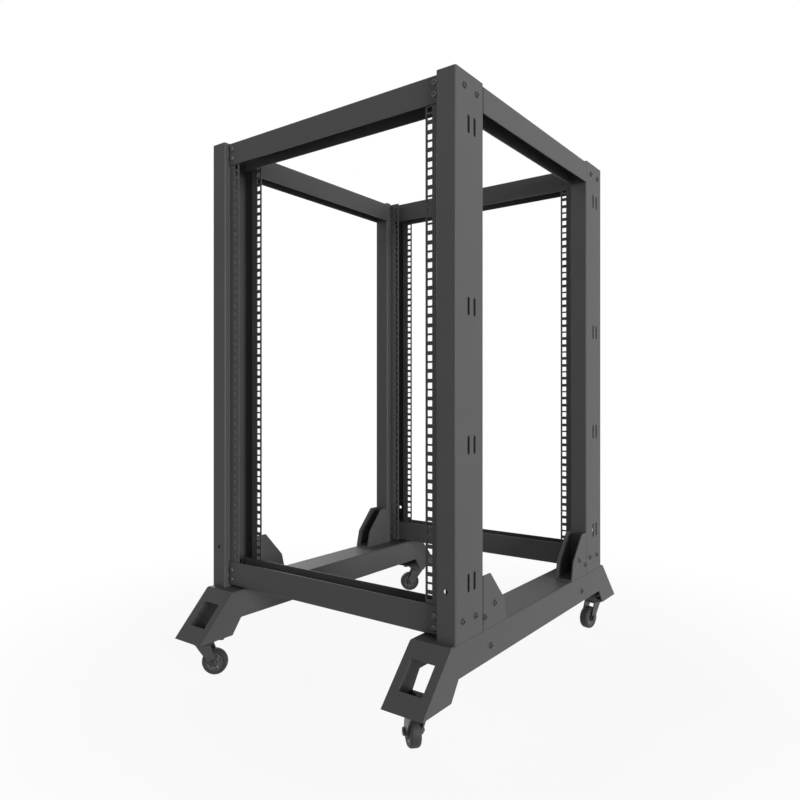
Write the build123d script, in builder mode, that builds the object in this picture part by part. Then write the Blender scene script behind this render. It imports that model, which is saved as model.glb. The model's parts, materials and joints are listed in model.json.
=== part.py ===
from build123d import *
import os
from math import cos, hypot, radians, sin

# Four post open frame rack, 20 units high, on two channel rails with four swivel casters.
# Millimetres, +Z up, +X to the rack's right seen from the front, +Y to the rear.
# The origin is the middle of the footprint, on the floor.

# Hole pattern of the mounting strips
unit_height = 44.45
unit_holes = (6.35, 22.225, 38.1)  # hole centres above the start of each unit
column_spacing = 465.1  # from the left hole column to the right one
hole_size = 9.5  # square hole for a cage nut
hole_edge = 8.0  # from a column's centre line to the strip's free edge

# Frame
post_margin = 56.2  # from a hole column to the post's outer face
rack_depth = 635.5  # over the posts' outer flanges
sheet = 2.0  # posts and cross bars
bend = 1.0  # inner radius of every bend
seat_gap = 0.3  # between pieces that stand against each other

# Posts
post_depth = 87.5
post_height = 899.0
flange_width = 36.5
strip_setback = 12.5
first_unit_rise = -3.5  # from the post's foot to the start of unit one
bolt_hole = 6.6

# Post web: pairs of upright slots and the bolt holes, from the post's outer flange and its foot
slot_length = 30.0
slot_width = 7.0
slot_inset = 39.5
slot_pitch = 19.0
slot_rises = (89.0, 308.0, 529.0, 818.5)
web_top_bolts = ((27.0, 876.0), (66.0, 874.0))
web_foot_bolts = ((22.0, 32.0), (63.0, 31.0))
flange_hole_rise = 80.5
flange_hole = 8.0

# Cross bars
bar_depth = 45.0  # from the face over the strip to the inner lip
top_bar_height = 45.0
top_bar_drop = 0.5  # below the posts' tops
bottom_bar_height = 48.0
bottom_bar_rise = 4.0  # above the posts' feet
bar_bolt_outset = 10.5  # from a hole column towards the post's side
bar_bolt_inset = 12.0  # from the bar's web to its nearer bolt
bar_bolt_pitch = 19.0
side_bar_height = 44.0
side_bar_drop = 3.0

# Base rails and their feet
rail_sheet = 2.5
rail_width = 75.5
rail_height = 84.5  # from the foot's sole to the rail's top
rail_depth = 54.0  # of the rail between its feet
rail_lead = 12.8  # the rail's top reaches this far past the post
foot_reach = 80.0  # the toe reaches this far past the rail's top edge
sole_length = 80.0
heel_run = 22.0
window_width = 44.0
window_length = 52.0
window_drop = 31.0  # from the rail's top edge, down the slope

# Gussets beside the posts' feet
gusset_sheet = 2.5
gusset_length = 83.0
gusset_height = 90.0
gusset_top = 25.0  # length of the level top edge
gusset_nose_rise = 39.0
gusset_nose_inset = 10.0

# Casters
wheel_diameter = 50.0
tyre_width = 17.0
tyre_thickness = 8.0
tyre_chamfer = 2.5
hub_width = 19.0
caster_trail = 22.0
axle_diameter = 7.0
axle_head = 11.0
axle_head_thickness = 2.5
running_fit = 0.05  # radial, at axles and swivel pins
fork_sheet = 2.5
fork_side_gap = 2.0  # between the tyre and a fork leg
crown_gap = 9.0  # between the tyre and the fork's crown
crown_diameter = 38.0
fork_boss = 16.0
swivel_gap = 0.3  # between the crown and the raceway
raceway_height = 7.2
raceway_diameter = 42.0
swivel_pin = 8.0
swivel_pin_head = 14.0
swivel_pin_head_thickness = 1.5
plate_thickness = 2.5
plate_size = 62.0
caster_headings = {  # where each wheel trails at rest, degrees from +X towards +Y
    "front_left": 36.0,
    "front_right": 138.0,
    "rear_left": 225.0,
    "rear_right": 262.0,
}

# Heights and places that follow from the sizes above
wheel_radius = wheel_diameter / 2
crown_bottom = wheel_diameter + crown_gap
crown_top = crown_bottom + fork_sheet
raceway_bottom = crown_top + swivel_gap
plate_bottom = raceway_bottom + raceway_height
sole_height = plate_bottom + plate_thickness
rail_top = sole_height + rail_height
post_bottom = rail_top
post_top = post_bottom + post_height
column_x = column_spacing / 2
outer_x = column_x + post_margin
strip_edge_x = column_x - hole_edge
flange_edge_x = outer_x - flange_width
rail_inner_x = outer_x - rail_width
rail_mid_x = outer_x - rail_width / 2
post_front_y = -rack_depth / 2
post_back_y = post_front_y + post_depth
post_mid_y = post_front_y + post_depth / 2
strip_front_y = post_front_y + strip_setback
strip_back_y = post_back_y - strip_setback
rail_edge_y = rack_depth / 2 + rail_lead
toe_y = rail_edge_y + foot_reach
heel_y = toe_y - sole_length
caster_y = toe_y - sole_length / 2
bottom_bar_bottom = post_bottom + bottom_bar_rise
strip_bottom = bottom_bar_bottom + sheet + bend + seat_gap
top_bar_top = post_top - top_bar_drop
strip_top = top_bar_top - sheet - bend - seat_gap
side_bar_top = post_top - side_bar_drop
bar_bolt_x = column_x + bar_bolt_outset
bar_bolt_steps = (bar_bolt_inset, bar_bolt_inset + bar_bolt_pitch)
top_bar_bolts = [top_bar_top - step for step in bar_bolt_steps]
bottom_bar_bolts = [bottom_bar_bottom + step for step in bar_bolt_steps]
unit_start = post_bottom + first_unit_rise
fork_leg_inner = tyre_width / 2 + fork_side_gap
hub_radius = wheel_radius - tyre_thickness

# Heights of the square holes that lie whole within a strip
hole_rows = [
    unit_start + unit * unit_height + rise
    for unit in range(int(post_height / unit_height) + 1)
    for rise in unit_holes
]
hole_rows = [
    row for row in hole_rows if strip_bottom < row - hole_size / 2 and row + hole_size / 2 < strip_top
]


def save(piece, name):
    """Writes one finished piece under its name."""
    piece.part.label = name
    export_step(piece.part, f"parts/{name}.step")


def save_mirrored(piece, name, ends=("front", "rear"), sides=("right", "left")):
    """Writes the front right piece in each of its places, mirrored to the rear and to the left."""
    for end in ends:
        for side in sides:
            with BuildPart() as placed:
                add(piece.part)
                if side == "left":
                    mirror(about=Plane.YZ, mode=Mode.REPLACE)
                if end == "rear":
                    mirror(about=Plane.XZ, mode=Mode.REPLACE)
            save(placed, "_".join(word for word in (name, end, side) if word))


def save_posts(piece):
    """Writes the one post in its four places: moved to the rear, and turned half round on the left."""
    run = rack_depth - post_depth
    places = {"front_right": (0, 0), "rear_right": (run, 0), "rear_left": (0, 180), "front_left": (run, 180)}
    for place, (shift, turn) in places.items():
        with BuildPart() as placed:
            add(Rot(0, 0, turn) * Pos(0, shift, 0) * piece.part)
        save(placed, f"post_{place}")


def make_post():
    """Front right post: bent sheet in a C, whose flanges step back into the mounting strips."""
    skin_points = (
        (strip_edge_x, strip_front_y),
        (flange_edge_x, strip_front_y),
        (flange_edge_x, post_front_y),
        (outer_x, post_front_y),
        (outer_x, post_back_y),
        (flange_edge_x, post_back_y),
        (flange_edge_x, strip_back_y),
        (strip_edge_x, strip_back_y),
    )
    outer_bend = bend + sheet
    with BuildPart() as post:
        with BuildSketch(Plane.XY.offset(post_bottom)):
            with BuildLine():
                FilletPolyline(*skin_points, radius=(bend, *[outer_bend] * 4, bend))
                offset(amount=sheet, side=Side.LEFT)
            make_face()
        extrude(amount=post_height)

        # The strips end inside the cross bars, the flanges run on
        for low, high in ((post_bottom, strip_bottom), (strip_top, post_top)):
            with BuildSketch(Plane.XY.offset(low)):
                with Locations(((strip_edge_x + flange_edge_x) / 2, post_mid_y)):
                    Rectangle(flange_edge_x - strip_edge_x, post_depth)
            extrude(amount=high - low, mode=Mode.SUBTRACT)

        # Square holes through both strips
        with BuildSketch(Plane.XZ.offset(-post_front_y)):
            with Locations(*[(column_x, row) for row in hole_rows]):
                Rectangle(hole_size, hole_size)
        extrude(amount=-post_depth, mode=Mode.SUBTRACT)

        # Bolt holes for the cross bars, through both strips
        with BuildSketch(Plane.XZ.offset(-post_front_y)):
            with Locations(*[(bar_bolt_x, row) for row in (*top_bar_bolts, *bottom_bar_bolts)]):
                Circle(bolt_hole / 2)
        extrude(amount=-post_depth, mode=Mode.SUBTRACT)

        # Slots and bolt holes in the web
        slot_places = [
            (post_front_y + slot_inset + across, post_bottom + rise)
            for across in (0, slot_pitch)
            for rise in slot_rises
        ]
        bolt_places = [
            (post_front_y + inset, post_bottom + rise)
            for inset, rise in (*web_top_bolts, *web_foot_bolts)
        ]
        with BuildSketch(Plane.YZ.offset(outer_x)):
            with Locations(*slot_places):
                SlotOverall(slot_length, slot_width, rotation=90)
            with Locations(*bolt_places):
                Circle(bolt_hole / 2)
        extrude(amount=-2 * sheet, mode=Mode.SUBTRACT)

        # One round hole low in each flange
        with BuildSketch(Plane.XZ.offset(-post_front_y)):
            with Locations((outer_x - flange_width / 2, post_bottom + flange_hole_rise)):
                Circle(flange_hole / 2)
        extrude(amount=-post_depth, mode=Mode.SUBTRACT)
    return post


def make_cross_bar(bottom, height, opening_up, bolt_rows):
    """Front channel from post to post, bolted to the faces of both front strips."""
    web, lip = (bottom, bottom + height) if opening_up else (bottom + height, bottom)
    front, back = strip_front_y - sheet, strip_front_y - sheet + bar_depth
    half_length = flange_edge_x - bend - seat_gap
    with BuildPart() as bar:
        with BuildSketch(Plane.YZ.offset(-half_length)):
            with BuildLine():
                FilletPolyline((front, lip), (front, web), (back, web), (back, lip), radius=bend + sheet)
                offset(amount=sheet, side=Side.LEFT if opening_up else Side.RIGHT)
            make_face()
        extrude(amount=2 * half_length)
        with BuildSketch(Plane.XZ.offset(-post_front_y)):
            with Locations(*[(side * bar_bolt_x, row) for side in (-1, 1) for row in bolt_rows]):
                Circle(bolt_hole / 2)
        extrude(amount=-strip_setback, mode=Mode.SUBTRACT)
    return bar


def make_side_bar():
    """Right channel between the front and rear posts, with an end plate against each flange."""
    bottom = side_bar_top - side_bar_height
    half_length = -post_back_y - seat_gap
    with BuildPart() as bar:
        with BuildSketch(Plane.XZ.offset(-half_length)):
            with BuildLine():
                FilletPolyline(
                    (flange_edge_x, bottom),
                    (flange_edge_x, side_bar_top),
                    (outer_x, side_bar_top),
                    (outer_x, bottom),
                    radius=bend + sheet,
                )
                offset(amount=sheet, side=Side.RIGHT)
            make_face()
        extrude(amount=2 * half_length)
        plate_planes = (Plane.XZ.offset(-half_length), Plane.XZ.offset(half_length - sheet))
        for plane in plate_planes:
            with BuildSketch(plane):
                with Locations((outer_x - flange_width / 2, bottom)):
                    Rectangle(
                        flange_width - 2 * sheet,
                        side_bar_height - sheet,
                        align=(Align.CENTER, Align.MIN),
                    )
            extrude(amount=sheet)
    return bar


def make_rail():
    """Right base rail: an inverted channel whose ends turn down into windowed feet."""
    belly = rail_top - rail_depth
    front_outline = (
        (-heel_y + heel_run, belly),
        (-heel_y, sole_height),
        (-toe_y, sole_height),
        (-rail_edge_y, rail_top),
    )
    rear_outline = [(-y, z) for y, z in reversed(front_outline)]
    slope_length = hypot(foot_reach, rail_height)
    with BuildPart() as rail:
        with BuildSketch(Plane.YZ.offset(rail_inner_x)):
            with BuildLine():
                Polyline(*front_outline, *rear_outline, close=True)
            make_face()
        extrude(amount=rail_width)
        folds = rail.edges().filter_by(Axis.Y).group_by(Axis.Z)[-1]
        fillet(folds, radius=bend + rail_sheet)

        # Hollow, and open below between the soles
        open_faces = [
            face
            for face in rail.faces().filter_by(GeomType.PLANE)
            if face.normal_at().Z < -0.1 and face.center().Z > sole_height + 1
        ]
        offset(amount=-rail_sheet, openings=open_faces)

        # A window in each sloped end
        for end in (-1, 1):
            slope = Plane(
                origin=(rail_mid_x, end * rail_edge_y, rail_top),
                x_dir=(1, 0, 0),
                z_dir=(0, end * rail_height, foot_reach),
            )
            with BuildSketch(slope):
                with Locations((0, end * (window_drop + window_length / 2))):
                    Rectangle(window_width, window_length)
            extrude(amount=-2 * rail_sheet, mode=Mode.SUBTRACT)
    return rail


def make_gusset():
    """Front right gusset: two cheeks on a base plate and a back plate against the post."""
    start = post_back_y + seat_gap
    outline = (
        (start, rail_top),
        (start + gusset_length, rail_top),
        (start + gusset_length - gusset_nose_inset, rail_top + gusset_nose_rise),
        (start + gusset_top, rail_top + gusset_height),
        (start, rail_top + gusset_height),
    )
    with BuildPart() as gusset:
        with BuildSketch(Plane.YZ.offset(flange_edge_x)):
            with BuildLine():
                Polyline(*outline, close=True)
            make_face()
        extrude(amount=flange_width)
        open_faces = [face for face in gusset.faces() if face.normal_at().Z > 0.1]
        offset(amount=-gusset_sheet, openings=open_faces)
    return gusset


class CasterFrame:
    """Planes of one caster: level, along its trail, and across its wheel."""

    def __init__(self, x, y, heading):
        trail = Vector(cos(radians(heading)), sin(radians(heading)), 0)
        across = Vector(sin(radians(heading)), -cos(radians(heading)), 0)
        centre = Vector(x, y, 0) + trail * caster_trail + Vector(0, 0, wheel_radius)
        self.level = Plane(origin=(x, y, 0), x_dir=trail, z_dir=(0, 0, 1))
        self.side = Plane(origin=(x, y, 0), x_dir=trail, z_dir=across)
        self.section = Plane(origin=centre, x_dir=across, z_dir=-trail)
        self.axle = Axis(centre, across)
        self.wheel_side = Plane(origin=centre, x_dir=trail, z_dir=across)


def make_caster_plate(frame):
    """Fixed top plate, square to the rack, with the swivel's raceway and its pin."""
    with BuildPart() as plate:
        with BuildSketch(Plane(frame.level.origin).offset(plate_bottom)):
            Rectangle(plate_size, plate_size)
        extrude(amount=plate_thickness)
        with BuildSketch(frame.level.offset(raceway_bottom)):
            Circle(raceway_diameter / 2)
        extrude(amount=raceway_height)
        pin_bottom = crown_bottom - swivel_gap
        with BuildSketch(frame.level.offset(pin_bottom)):
            Circle(swivel_pin / 2)
        extrude(amount=raceway_bottom - pin_bottom)
        with BuildSketch(frame.level.offset(pin_bottom - swivel_pin_head_thickness)):
            Circle(swivel_pin_head / 2)
        extrude(amount=swivel_pin_head_thickness)
    return plate


def make_fork(frame):
    """Swivel fork: a round crown and two legs that taper to the axle."""
    with BuildPart() as fork:
        with BuildSketch(frame.level.offset(crown_bottom)):
            Circle(crown_diameter / 2)
        extrude(amount=fork_sheet)
        for start in (fork_leg_inner, -fork_leg_inner - fork_sheet):
            with BuildSketch(frame.side.offset(start)):
                with Locations((caster_trail, wheel_radius)):
                    Circle(fork_boss / 2)
                half_chord = (crown_diameter**2 / 4 - (fork_leg_inner + fork_sheet) ** 2) ** 0.5
                with Locations((0, crown_bottom)):
                    Rectangle(2 * half_chord, fork_sheet, align=(Align.CENTER, Align.MIN))
                make_hull()
                with Locations((caster_trail, wheel_radius)):
                    Circle(axle_diameter / 2 + running_fit, mode=Mode.SUBTRACT)
            extrude(amount=fork_sheet)
        with BuildSketch(frame.level.offset(crown_bottom)):
            Circle(swivel_pin / 2 + running_fit)
        extrude(amount=fork_sheet, mode=Mode.SUBTRACT)
    return fork


def make_tyre(frame):
    """Rubber tyre with bevelled shoulders."""
    with BuildPart() as tyre:
        with BuildSketch(frame.section):
            with Locations((0, wheel_radius)):
                Rectangle(tyre_width, tyre_thickness, align=(Align.CENTER, Align.MAX))
            chamfer(vertices().group_by(Axis.Z)[-1], length=tyre_chamfer)
        revolve(axis=frame.axle)
    return tyre


def make_hub(frame):
    """Moulded hub that fills the tyre and turns on the axle."""
    with BuildPart() as hub:
        with BuildSketch(frame.wheel_side.offset(-hub_width / 2)):
            Circle(hub_radius)
            Circle(axle_diameter / 2 + running_fit, mode=Mode.SUBTRACT)
        extrude(amount=hub_width)
    return hub


def make_axle(frame):
    """Axle bolt across both legs, with a head at each end."""
    half_span = fork_leg_inner + fork_sheet
    with BuildPart() as axle:
        with BuildSketch(frame.wheel_side.offset(-half_span)):
            Circle(axle_diameter / 2)
        extrude(amount=2 * half_span)
        for start in (half_span, -half_span - axle_head_thickness):
            with BuildSketch(frame.wheel_side.offset(start)):
                Circle(axle_head / 2)
            extrude(amount=axle_head_thickness)
    return axle


def save_casters():
    """Writes the pieces of all four casters."""
    for end, y in (("front", -caster_y), ("rear", caster_y)):
        for side, x in (("left", -rail_mid_x), ("right", rail_mid_x)):
            place = f"{end}_{side}"
            frame = CasterFrame(x, y, caster_headings[place])
            save(make_caster_plate(frame), f"caster_plate_{place}")
            save(make_fork(frame), f"caster_fork_{place}")
            save(make_axle(frame), f"caster_axle_{place}")
            save(make_hub(frame), f"caster_hub_{place}")
            save(make_tyre(frame), f"caster_tyre_{place}")


os.makedirs("parts", exist_ok=True)
top_bar = make_cross_bar(top_bar_top - top_bar_height, top_bar_height, False, top_bar_bolts)
bottom_bar = make_cross_bar(bottom_bar_bottom, bottom_bar_height, True, bottom_bar_bolts)
save_posts(make_post())
save_mirrored(top_bar, "top_bar", sides=("",))
save_mirrored(bottom_bar, "bottom_bar", sides=("",))
save_mirrored(make_side_bar(), "top_bar", ends=("",))
save_mirrored(make_rail(), "base_rail", ends=("",))
save_mirrored(make_gusset(), "gusset")
save_casters()
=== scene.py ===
import json
from math import pi, radians

import bpy
import numpy as np
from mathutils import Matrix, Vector


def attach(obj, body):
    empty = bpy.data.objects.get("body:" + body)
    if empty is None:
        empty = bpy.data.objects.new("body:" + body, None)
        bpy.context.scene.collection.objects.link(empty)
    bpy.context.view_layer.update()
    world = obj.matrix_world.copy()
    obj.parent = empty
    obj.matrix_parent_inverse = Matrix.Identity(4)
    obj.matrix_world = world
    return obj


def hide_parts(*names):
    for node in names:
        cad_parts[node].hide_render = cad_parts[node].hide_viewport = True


# Four post open frame rack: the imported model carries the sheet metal, this file adds
# finishes, fasteners, wheels and bearings, the studio and the camera. Metres, +Z up.
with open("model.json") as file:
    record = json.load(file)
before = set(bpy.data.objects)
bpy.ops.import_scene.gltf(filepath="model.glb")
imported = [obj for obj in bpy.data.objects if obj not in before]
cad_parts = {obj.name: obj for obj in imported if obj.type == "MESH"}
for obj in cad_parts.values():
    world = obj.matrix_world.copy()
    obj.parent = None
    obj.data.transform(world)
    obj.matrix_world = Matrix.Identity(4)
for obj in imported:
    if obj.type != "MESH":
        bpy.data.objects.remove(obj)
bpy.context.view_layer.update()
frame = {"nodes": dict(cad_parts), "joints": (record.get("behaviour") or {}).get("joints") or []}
nodes = frame["nodes"]
joints = {joint["name"]: joint for joint in frame["joints"]}
print("rack: frame loaded with", len(nodes), "pieces")

# The rack's corners: an end and a side, with the signs of y and x there
ends = {"front": -1, "rear": 1}
sides = {"left": -1, "right": 1}
corners = [(end, side, ends[end], sides[side]) for end in ends for side in sides]
metre = 1000  # millimetres, in which the pieces' sizes are written

cameraSet = {
    "place": (0.84153, -1.23525, 0.54062),
    "turn": 37.30,  # degrees round from looking along +Y
    "lens": 31.056,
    "shift": (0.02455, -0.00373),
}
cameraData = bpy.data.cameras.new("rackCamera")
cameraData.lens = cameraSet["lens"]
cameraData.shift_x, cameraData.shift_y = cameraSet["shift"]
camera = bpy.data.objects.new("rackCamera", cameraData)
camera.location = cameraSet["place"]
camera.rotation_euler = (pi / 2, 0, radians(cameraSet["turn"]))
bpy.context.scene.collection.objects.link(camera)
bpy.context.scene.camera = camera
bpy.context.scene.view_settings.view_transform = "Standard"
print("rack: camera set")


# One socket of a recipe. Sums on it add Math nodes: a + b, 1 - mask and so on.
class Wire:
    def __init__(self, recipe, socket):
        self.recipe, self.socket = recipe, socket

    def __add__(self, other):
        return self.recipe.math("ADD", self, other)

    def __radd__(self, other):
        return self.recipe.math("ADD", other, self)

    def __sub__(self, other):
        return self.recipe.math("SUBTRACT", self, other)

    def __rsub__(self, other):
        return self.recipe.math("SUBTRACT", other, self)

    def __mul__(self, other):
        return self.recipe.math("MULTIPLY", self, other)

    def __rmul__(self, other):
        return self.recipe.math("MULTIPLY", other, self)

    def __or__(self, other):  # the larger of the two
        return self.recipe.math("MAXIMUM", self, other)

    def __ror__(self, other):
        return self.recipe.math("MAXIMUM", other, self)

    def between(self, low, high):  # 0 below low, 1 above high, smooth between
        ranged = {"interpolation_type": "SMOOTHSTEP"}
        sockets = {0: self, 1: low, 2: high, 3: 0.0, 4: 1.0}
        return self.recipe.add("ShaderNodeMapRange", ranged, sockets)[0]


# The nodes of one material, or of the world
class Recipe:
    def __init__(self, owner):
        owner.use_nodes = True
        self.owner, self.tree = owner, owner.node_tree
        self.tree.nodes.clear()

    # Any node: its settings go in first, then the values or wires of its sockets
    def add(self, kind, settings=None, sockets=None):
        node = self.tree.nodes.new(kind)
        for name, value in (settings or {}).items():
            setattr(node, name, value)
        for key, value in (sockets or {}).items():
            socket = node.inputs[key]
            if isinstance(value, Wire):
                self.tree.links.new(value.socket, socket)
            else:
                socket.default_value = value
        return [Wire(self, out) for out in node.outputs]

    def math(self, operation, *terms):
        return self.add("ShaderNodeMath", {"operation": operation}, dict(enumerate(terms)))[0]

    def place(self):  # the point on the object
        return self.add("ShaderNodeTexCoord")[3]

    def noise(self, place, scale, detail, roughness=0.5):
        sockets = {"Vector": place, "Scale": scale, "Detail": detail, "Roughness": roughness}
        return self.add("ShaderNodeTexNoise", None, sockets)[0]

    def shown(self):  # 1 where the camera looks, straight or by a mirror or glass, else 0
        rays = self.add("ShaderNodeLightPath")
        camera, glossy, transmission = rays[0], rays[3], rays[6]
        return camera | glossy | transmission

    def blend(self, factor, first, second):  # of two colours
        return self.add("ShaderNodeMix", {"data_type": "RGBA"}, {0: factor, 6: first, 7: second})[2]

    # The surface: fixed values, base colour, roughness, and a height for the bump
    def surface(self, values, colour, roughness, height, reach):
        relief = {"Strength": 1.0, "Distance": reach, "Height": height}
        bump = self.add("ShaderNodeBump", None, relief)[0]
        sockets = {**values, "Base Color": colour, "Roughness": roughness, "Normal": bump}
        shader = self.add("ShaderNodeBsdfPrincipled", None, sockets)[0]
        self.add("ShaderNodeOutputMaterial", None, {"Surface": shader})
        return self.owner


# A grey whose red is raised and blue lowered by the share warm
def grey(level, warm=0.0):
    return (level * (1 + warm), level, level * (1 - warm), 1.0)


# Powder coat. Noises are (scale per metre, detail), with a roughness where it isn't a half.
# Relief is in metres.
paintSet = {
    "level": 0.064, "ior": 1.5,
    "cloud": (5.0, 3.0), "pebble": (210.0, 3.0, 0.6), "grain": (620.0, 2.0), "fleck": (1500.0, 1.0),
    "cloudEdges": (0.3, 0.7), "pebbleEdges": (0.35, 0.65), "fleckEdges": (0.66, 0.76),
    "cloudShare": 0.75,  # of clouds in the tone, the rest is pebble
    "dark": 0.95, "light": 1.05, "darkWarm": -0.01, "lightWarm": -0.005,
    "fleckLight": 1.6, "fleckShare": 0.3,
    "grainShare": 0.55,  # of grain in the height, the rest is pebble
    "relief": 0.00008,
    "gloss": 0.26,
    "roughness": 0.5, "roughSpread": 0.06,
}


# Tone = clouds and pebbles between dark and light, with pale flecks. Height = grain and pebbles.
def powderCoat(name, share=1.0):
    paint, level = Recipe(bpy.data.materials.new(name)), paintSet["level"] * share
    place = paint.place()
    cloud = paint.noise(place, *paintSet["cloud"])
    grain = paint.noise(place, *paintSet["grain"])
    pebble = paint.noise(place, *paintSet["pebble"])
    fleck = paint.noise(place, *paintSet["fleck"]).between(*paintSet["fleckEdges"])
    clouded = cloud.between(*paintSet["cloudEdges"]) * paintSet["cloudShare"]
    pebbled = pebble.between(*paintSet["pebbleEdges"]) * (1 - paintSet["cloudShare"])
    dark = grey(level * paintSet["dark"], paintSet["darkWarm"])
    light = grey(level * paintSet["light"], paintSet["lightWarm"])
    body = paint.blend(clouded + pebbled, dark, light)
    pale = grey(level * paintSet["fleckLight"])
    colour = paint.blend(fleck * paintSet["fleckShare"], body, pale)
    rough = paintSet["roughness"] + (cloud + grain - 1) * paintSet["roughSpread"]
    height = grain * paintSet["grainShare"] + pebble * (1 - paintSet["grainShare"])
    values = {"IOR": paintSet["ior"], "Specular IOR Level": paintSet["gloss"]}
    return paint.surface(values, colour, rough, height, paintSet["relief"])


# Pressed steel, plated black: soft metal sheen with fine streaks
steelSet = {
    "cloud": (55.0, 3.0), "streak": (900.0, 2.0),
    "dark": 0.7, "light": 1.4,
    "cloudRough": 0.16, "streakRough": 0.08,
    "relief": 0.00003,
}


# Tone = clouds between dark and light. Roughness = its middle, with clouds and streaks.
def blackSteel(name, level, metallic=0.55, roughness=0.4):
    steel = Recipe(bpy.data.materials.new(name))
    place = steel.place()
    cloud = steel.noise(place, *steelSet["cloud"])
    streak = steel.noise(place, *steelSet["streak"])
    colour = steel.blend(cloud, grey(level * steelSet["dark"]), grey(level * steelSet["light"]))
    clouded = roughness + (cloud - 0.5) * steelSet["cloudRough"]
    rough = clouded + (streak - 0.5) * steelSet["streakRough"]
    return steel.surface({"Metallic": metallic}, colour, rough, streak, steelSet["relief"])


# Moulded plastic or rubber: even tone, satin, with faint flow marks
mouldSet = {
    "ior": 1.5,
    "flow": (90.0, 3.0), "skin": (1400.0, 1.0),
    "dark": 0.86, "light": 1.14,
    "flowRough": 0.14,
    "skinShare": 0.7,  # of skin in the height, the rest is flow
    "relief": 0.00005,
}


# Tone and roughness = flow marks round their middle. Height = skin and flow marks.
def moulded(name, level, roughness, gloss=0.4):
    mould = Recipe(bpy.data.materials.new(name))
    place = mould.place()
    flow = mould.noise(place, *mouldSet["flow"])
    skin = mould.noise(place, *mouldSet["skin"])
    colour = mould.blend(flow, grey(level * mouldSet["dark"]), grey(level * mouldSet["light"]))
    rough = roughness + (flow - 0.5) * mouldSet["flowRough"]
    height = skin * mouldSet["skinShare"] + flow * (1 - mouldSet["skinShare"])
    values = {"IOR": mouldSet["ior"], "Specular IOR Level": gloss}
    return mould.surface(values, colour, rough, height, mouldSet["relief"])


finishes = {
    "post": powderCoat("postPowderCoat"),
    "bar": powderCoat("barPowderCoat", 0.97),
    "rail": powderCoat("railPowderCoat", 0.99),
    "gusset": powderCoat("gussetPowderCoat", 0.98),
    "plate": blackSteel("casterPlateSteel", 0.03),
    "fork": blackSteel("forkSteel", 0.05),
    "bolt": blackSteel("blackBolt", 0.03, 0.5, 0.36),
    "barBolt": blackSteel("barBolt", 0.085, 0.55, 0.42),
    "race": blackSteel("bearingSteel", 0.05, 0.7, 0.36),
    "cap": moulded("capPlastic", 0.04, 0.5),
    "hub": moulded("hubNylon", 0.085, 0.42),
    "tyre": moulded("tyreRubber", 0.03, 0.6, 0.3),
}
nodeFinish = {  # by the start of the piece's name
    "post_": "post", "top_bar": "bar", "bottom_bar": "bar", "base_rail": "rail",
    "gusset": "gusset", "caster_plate": "plate", "caster_fork": "fork",
    "caster_axle": "bolt", "caster_hub": "hub", "caster_tyre": "tyre",
}
for name, node in nodes.items():
    start = next(key for key in nodeFinish if name.startswith(key))
    node.data.materials.clear()
    node.data.materials.append(finishes[nodeFinish[start]])
print("rack: finishes on", len(nodes), "pieces")


# Faces of a grid of rows by columns whose columns close into rings. Each face joins a row to
# the next. Both open ends get a lid, or the last row joins the first where it is a loop.
def ringFaces(rows, columns, loop=False):
    lines = rows if loop else rows - 1
    r, c = np.meshgrid(np.arange(lines), np.arange(columns), indexing="ij")
    after, up = (c + 1) % columns, (r + 1) % rows
    around = [r * columns + c, r * columns + after, up * columns + after, up * columns + c]
    faces = np.stack(around, -1).reshape(-1, 4).tolist()
    if not loop:
        ring = np.arange(columns)
        faces += [ring[::-1].tolist(), (ring + (rows - 1) * columns).tolist()]
    return faces


# Three unit directions with the last one along out, for every out at once:
# across = helper x out, along = out x across
def standUp(outs):
    outs = np.asarray(outs, float)
    outs = outs / np.linalg.norm(outs, axis=1, keepdims=True)
    upright = np.abs(outs[:, 2:3]) > 0.9  # too near to the usual helper, +Z
    helper = np.where(upright, (1.0, 0.0, 0.0), (0.0, 0.0, 1.0))
    across = np.cross(helper, outs)
    across /= np.linalg.norm(across, axis=1, keepdims=True)
    return np.stack([across, np.cross(outs, across), outs], 1)


# One shape at many places: point = place + x * across + y * along + z * out
def scatter(points, faces, places, outs):
    places = np.asarray(places, float)
    every = (points[None] @ standUp(outs) + places[:, None]).reshape(-1, 3)
    steps = range(0, len(every), len(points))
    return every, [[corner + step for corner in face] for step in steps for face in faces]


# Puts arrays into a mesh, shades it, gives it its finish and hands it to its body.
# Edges that bend by more than crease degrees stay sharp.
def makePiece(name, points, faces, finish, body, slot, crease=35.0):
    mesh = bpy.data.meshes.new(name)
    mesh.from_pydata(np.asarray(points).tolist(), [], faces)
    mesh.update()
    mesh.shade_smooth()
    mesh.set_sharp_from_angle(angle=radians(crease))
    mesh.materials.append(finishes[finish])
    piece = bpy.data.objects.new(name, mesh)
    bpy.context.scene.collection.objects.link(piece)
    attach(piece, body)
    return piece


# A turned shape, from millimetres: x = r cos t, y = r sin t, z = h for the profile's (r, h),
# t round the ring. Where a ring's third number is 1 its outline is a hexagon:
# r / cos((t mod 60) - 30), to the flats. A loop's last ring joins its first.
def turned(profile, columns=48, loop=False):
    profile = np.asarray(profile, float)
    t = np.arange(columns) * 2 * pi / columns
    flat = 1 / np.cos(np.mod(t, pi / 3) - pi / 6)
    share = profile[:, 2:3] if profile.shape[1] > 2 else np.zeros((len(profile), 1))
    radius = profile[:, :1] * (1 + share * (flat[None] - 1))
    height = np.repeat(profile[:, 1:2], columns, 1)
    points = np.stack([radius * np.cos(t), radius * np.sin(t), height], -1)
    return points.reshape(-1, 3) / metre, ringFaces(len(profile), columns, loop)


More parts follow.
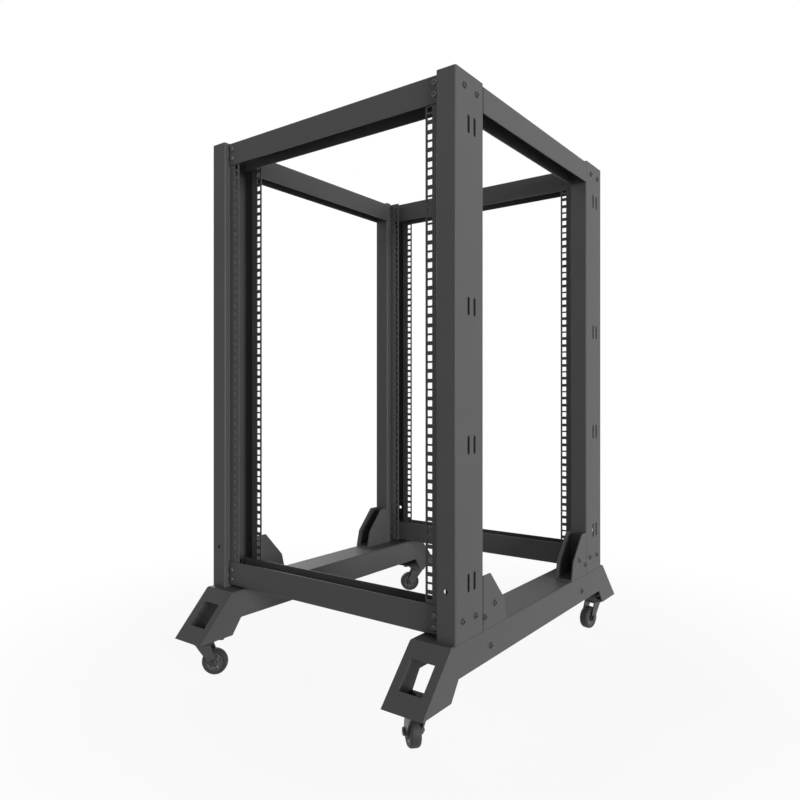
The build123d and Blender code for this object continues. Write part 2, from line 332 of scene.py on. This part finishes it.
# Button-head screw, in millimetres
screwSet = {
    "head": 5.2, "socket": 2.0,  # radii of the head and of its hexagon socket, to the flats
    "rise": 2.9, "dome": 0.92, "domeRings": 6,
    "mouth": 0.6,  # from the socket out to the dome
    "rim": ((0.15, 0.0), (0.0, 0.2), (0.0, 0.5)),  # in from the head's edge, up
    "well": ((0.25, 0.05), (0.0, 0.35), (0.0, 1.7)),  # out from the socket, down from the dome
}


# Profile of the head: the rim, the dome h = lip + (rise - lip) * sqrt(1 - dome * (r / head)^2)
# from the rim's lip to the socket's mouth, and the socket's well
def buttonHead(head, socket, rise, dome, domeRings, mouth, rim, well):
    lip = rim[-1][1]
    radii = np.linspace(head, socket + mouth, domeRings + 1)[1:]
    heights = lip + (rise - lip) * np.sqrt(1 - dome * (radii / head) ** 2)
    edge = [(head - inset, height, 0) for inset, height in rim]
    cut = [(socket + out, heights[-1] - down, 1) for out, down in well]
    return edge + [(r, h, 0) for r, h in zip(radii, heights)] + cut


# Hexagon nut on a bolt's end, in millimetres
nutSet = {
    "body": [(4.7, 0.0, 0), (5.0, 0.25, 1), (5.0, 4.3, 1), (5.2, 4.7, 0), (4.0, 5.0, 0)],
    "bore": [(3.0, 5.0, 0), (2.7, 4.5, 0)],
    "end": [(2.7, 5.6, 0), (2.1, 6.0, 0)],
}

# Flat push-in cap that closes a bolt hole no bolt uses, in millimetres
capSet = {
    "skirt": [(5.0, 0.0, 0), (5.1, 0.3, 0), (4.8, 0.8, 0)],
    "face": [(3.6, 1.1, 0), (0.6, 1.2, 0)],
}

# Places in millimetres, from the same sizes as the sheet metal. Each pair is an inset and a
# row. Insets run from the post's face at the web and from the rack's nearer end elsewhere,
# rows up from the post's foot.
placeSet = {
    "outer": 288.75, "postFront": 317.75, "postDepth": 87.5, "foot": 156.0, "sheet": 2.0,
    "barFront": 307.25, "stripInside": 303.25, "innerStrip": 242.75, "barBolts": 243.05,
    "barRows": (16.0, 35.0, 867.5, 886.5),
    "web": ((27.0, 876.0), (66.0, 874.0), (22.0, 32.0), (63.0, 31.0)),
    "gusset": ((93.2, 21.2), (128.0, 36.8)),
    "railSide": (114.0, -31.4),
}


# A place and the way out of it for each bar screw, frame screw, nut and cap, all corners in turn
def fastenerPlaces(outer, postFront, postDepth, foot, sheet, barFront, stripInside, innerStrip,
                   barBolts, barRows, web, gusset, railSide):
    places = {"barScrews": [], "frameScrews": [], "nuts": [], "caps": []}
    for end, side, ey, sx in corners:
        for row in barRows:
            x, z = sx * barBolts, foot + row
            places["barScrews"].append(((x, ey * barFront, z), (0, ey, 0)))
            places["nuts"].append(((x, ey * stripInside, z), (0, -ey, 0)))
            places["caps"].append(((x, ey * innerStrip, z), (0, -ey, 0)))
        # The left posts are the right ones turned half round, so front and rear change there
        start = -postFront if ey * sx < 0 else postFront - postDepth
        for inset, row in web:
            y, z = sx * (start + inset), foot + row
            places["frameScrews"].append(((sx * outer, y, z), (sx, 0, 0)))
            places["nuts"].append(((sx * (outer - sheet), y, z), (-sx, 0, 0)))
        for inset, row in (*gusset, railSide):
            spot = (sx * outer, ey * (postFront - inset), foot + row)
            places["frameScrews"].append((spot, (sx, 0, 0)))
    return places


# Scatters one turned shape over its places, in millimetres, as one piece of the frame
def scatterPiece(name, profile, spots, finish, slot):
    places, outs = zip(*spots)
    shape = scatter(*turned(profile), np.array(places) / metre, outs)
    makePiece(name, *shape, finish, "rack_frame", slot)


fasteners = fastenerPlaces(**placeSet)
screwProfile = buttonHead(**screwSet)
nutProfile, capProfile = sum(nutSet.values(), []), sum(capSet.values(), [])
scatterPiece("bar_screws", screwProfile, fasteners["barScrews"], "barBolt", "axle_metal")
scatterPiece("frame_screws", screwProfile, fasteners["frameScrews"], "bolt", "axle_metal")
scatterPiece("frame_nuts", nutProfile, fasteners["nuts"], "bolt", "axle_metal")
scatterPiece("hole_caps", capProfile, fasteners["caps"], "cap", "axle_metal")
print("rack:", ", ".join(f"{len(spots)} {kind}" for kind, spots in fasteners.items()))

# Tyre, in millimetres. The wall steps from the hub's seat to the shoulder: (out from the
# seat, in from the tyre's side).
tyreSet = {
    "radius": 25.0, "half": 9.0, "seat": 17.0, "crown": 2.6, "treadRings": 13, "columns": 96,
    "wall": ((0.0, 0.6), (3.2, 0.3), (3.9, 0.0)),
}


# The tyre, a turned loop: wall, crowned tread r = radius - crown * s^4 at the height s * half
# for s from -1 to 1, wall
def makeTyre(radius, half, seat, crown, treadRings, columns, wall):
    s = np.linspace(-1, 1, treadRings)
    tread = [(r, h) for r, h in zip(radius - crown * s ** 4, s * half)]
    lower = [(seat + out, step - half) for out, step in wall]
    upper = [(seat + out, half - step) for out, step in reversed(wall)]
    return turned(lower + tread + upper, columns, loop=True)


# Hub, in millimetres: half its profile from the bore out to the rim. Where the third number is
# 1 the ring lies in the dish, which the ribs fill up to their own height.
hubSet = {
    "half": ((3.6, 9.5, 0), (6.2, 9.5, 0), (6.6, 9.1, 0), (6.9, 6.0, 1), (7.6, 5.6, 1),
             (13.2, 5.4, 1), (14.2, 6.0, 1), (14.5, 7.7, 0), (15.0, 8.2, 0), (16.4, 8.2, 0),
             (17.0, 7.7, 0)),
    "ribs": 6, "ribTop": 7.9, "ribGain": 1.6, "ribCut": 0.6,
    "columns": 72,
}


# The hub: height = dish + rib * (ribTop - dish), rib = sqrt(ribGain * cos(ribs * t) - ribCut)
# held between 0 and 1, and the same below as above
def makeHub(half, ribs, ribTop, ribGain, ribCut, columns):
    half, t = np.array(half), np.arange(columns) * 2 * pi / columns
    rib = np.sqrt(np.clip(ribGain * np.cos(ribs * t) - ribCut, 0, 1))
    height = half[:, 1:2] + half[:, 2:3] * rib[None] * (ribTop - half[:, 1:2])
    radius = np.repeat(half[:, :1], columns, 1)
    near = np.stack([radius * np.cos(t), radius * np.sin(t), height], -1)
    rows = np.concatenate([near * (1, 1, -1), near[::-1]])
    return rows.reshape(-1, 3) / metre, ringFaces(len(rows), columns, loop=True)


# Axle bolt, in millimetres along the axle: hexagon head, shank, nut with its collar, bolt's end
axleSet = {
    "head": [(0.6, -16.6, 0), (4.6, -16.6, 0), (5.6, -16.0, 1), (5.6, -13.4, 1), (5.2, -13.1, 0)],
    "shank": [(3.5, -13.0, 0), (3.5, 13.0, 0)],
    "nut": [(5.2, 13.1, 0), (5.6, 13.4, 1), (5.6, 15.6, 1), (5.0, 16.2, 0), (4.0, 17.2, 0)],
    "end": [(3.0, 17.3, 0), (3.0, 18.2, 0), (2.5, 18.6, 0), (0.6, 18.6, 0)],
}

# Swivel bearing, in millimetres above the floor: a pressed cup round the plate's disc, the
# fork's crown turned up round the balls, and the pin's domed head below the crown
bearingSet = {
    "upper": [(21.2, 62.0), (21.9, 62.7), (22.4, 63.9), (22.6, 65.5), (23.2, 67.1), (24.4, 68.4),
              (24.0, 69.0), (21.2, 69.0)],
    "lower": [(14.0, 58.5), (17.6, 58.5), (19.6, 59.1), (20.8, 60.3), (21.0, 61.4),
              (20.2, 61.65), (19.2, 61.4), (14.0, 61.4)],
    "pinHead": [(0.6, 52.8), (3.4, 53.0), (6.0, 53.8), (7.8, 55.3), (8.6, 57.2), (8.6, 58.2),
                (8.2, 58.6), (4.2, 58.6)],
    "columns": 72, "crease": 28.0,
}

# The caster's plate and the bolts that hold it under the foot, in millimetres. The bolt's head
# is a low hexagon with a shallow dip.
plateSet = {
    "across": 251.0, "along": 370.55, "boltOut": 23.5, "bottom": 69.0, "soleTop": 74.0,
    "head": [(4.7, 0.0, 0), (5.0, 0.2, 1), (5.0, 3.44, 1), (5.2, 3.76, 0), (4.0, 4.0, 0),
             (2.0, 3.8, 0)],
}
plateBolts, plateNuts = [], []
for end, side, ey, sx in corners:
    place = f"{end}_{side}"
    across, along, boltOut = sx * plateSet["across"], ey * plateSet["along"], plateSet["boltOut"]
    for bx in (-boltOut, boltOut):
        for by in (-boltOut, boltOut):
            plateBolts.append(((across + bx, along + by, plateSet["bottom"]), (0, 0, -1)))
            plateNuts.append(((across + bx, along + by, plateSet["soleTop"]), (0, 0, 1)))

    pivot = (across / metre, along / metre, 0.0)
    for race, body in (("upper", "rack_frame"), ("lower", f"swivel_{place}")):
        points, faces = turned(bearingSet[race], bearingSet["columns"], loop=True)
        makePiece(f"{race}_race_{place}", points + pivot, faces, "race", body, "caster_metal",
                  bearingSet["crease"])
    points, faces = turned(bearingSet["pinHead"])
    makePiece(f"pin_head_{place}", points + pivot, faces, "race", "rack_frame", "caster_metal")

    roll = joints[f"roll_{place}"]
    centre, axis = [roll["pos_m"]], [roll["axis"]]
    shape = scatter(*makeTyre(**tyreSet), centre, axis)
    tyre = makePiece(f"tyre_{place}", *shape, "tyre", f"wheel_{place}", "wheel_tyre")
    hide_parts(f"caster_tyre_{place}")
    shape = scatter(*makeHub(**hubSet), centre, axis)
    hub = makePiece(f"hub_{place}", *shape, "hub", f"wheel_{place}", "wheel_hub")
    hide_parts(f"caster_hub_{place}")
    shape = scatter(*turned(sum(axleSet.values(), [])), centre, axis)
    axle = makePiece(f"axle_{place}", *shape, "bolt", f"swivel_{place}", "axle_metal")
    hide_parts(f"caster_axle_{place}")
scatterPiece("plate_bolts", plateSet["head"], plateBolts, "bolt", "caster_metal")
scatterPiece("plate_nuts", nutProfile, plateNuts, "bolt", "caster_metal")
print("rack: casters dressed")

# Floor, light and background
studioSet = {
    "ambient": 0.12,
    "floorLevel": 0.68, "floorShade": 0.99, "floorCloud": (3.0, 2.0), "floorHalf": 30.0,
    "veil": 0.92,  # share of plain white that the camera sees over the floor's own shade
    "fade": (0.5, 1.2),  # metres from the rack over which the floor turns plain white
    "target": (0.0, 0.0, 0.5),
    "lamps": (  # name, place, size in metres, power in watts
        ("keyLamp", (7.6, 3.9, 2.35), 5.0, 100.0),
        ("lowLamp", (6.3, -2.1, 1.2), 2.0, 350.0),
        ("nearLamp", (1.9, -2.3, 1.2), 1.4, 7.5),
        ("frontLamp", (-1.0, -2.4, 2.3), 1.6, 3.0),
        ("backLamp", (-4.1, 2.0, 2.4), 2.2, 95.0),
    ),
}
floorPaint = Recipe(bpy.data.materials.new("paleFloor"))
ground = floorPaint.place()
cloud = floorPaint.noise(ground, *studioSet["floorCloud"])
light = studioSet["floorLevel"]
colour = floorPaint.blend(cloud, grey(light * studioSet["floorShade"]), grey(light))
matt = floorPaint.add("ShaderNodeBsdfDiffuse", None, {"Color": colour})[0]
white = floorPaint.add("ShaderNodeEmission", None, {"Color": grey(1.0), "Strength": 1.0})[0]
length = floorPaint.add("ShaderNodeVectorMath", {"operation": "LENGTH"}, {0: ground})[1]
far = length.between(*studioSet["fade"])
seen = floorPaint.shown() * (studioSet["veil"] + (1 - studioSet["veil"]) * far)
mixed = floorPaint.add("ShaderNodeMixShader", None, {0: seen, 1: matt, 2: white})[0]
floorPaint.add("ShaderNodeOutputMaterial", None, {"Surface": mixed})
half = studioSet["floorHalf"]
floorMesh = bpy.data.meshes.new("studioFloor")
floorCorners = [(-half, -half, 0), (half, -half, 0), (half, half, 0), (-half, half, 0)]
floorMesh.from_pydata(floorCorners, [], [[0, 1, 2, 3]])
floorMesh.materials.append(floorPaint.owner)
floor = bpy.data.objects.new("studioFloor", floorMesh)
bpy.context.scene.collection.objects.link(floor)

bpy.context.scene.world = bpy.data.worlds.new("studioWorld")
sky = Recipe(bpy.context.scene.world)
strength = sky.shown() * (1 - studioSet["ambient"]) + studioSet["ambient"]
backdrop = {"Color": grey(1.0), "Strength": strength}
background = sky.add("ShaderNodeBackground", None, backdrop)[0]
sky.add("ShaderNodeOutputWorld", None, {"Surface": background})

for name, place, size, power in studioSet["lamps"]:
    lamp = bpy.data.lights.new(name, "AREA")
    lamp.size, lamp.energy = size, power
    holder = bpy.data.objects.new(name, lamp)
    holder.location = place
    aim = Vector(studioSet["target"]) - Vector(place)
    holder.rotation_euler = aim.to_track_quat("-Z", "Y").to_euler()
    bpy.context.scene.collection.objects.link(holder)
print("rack: studio ready")
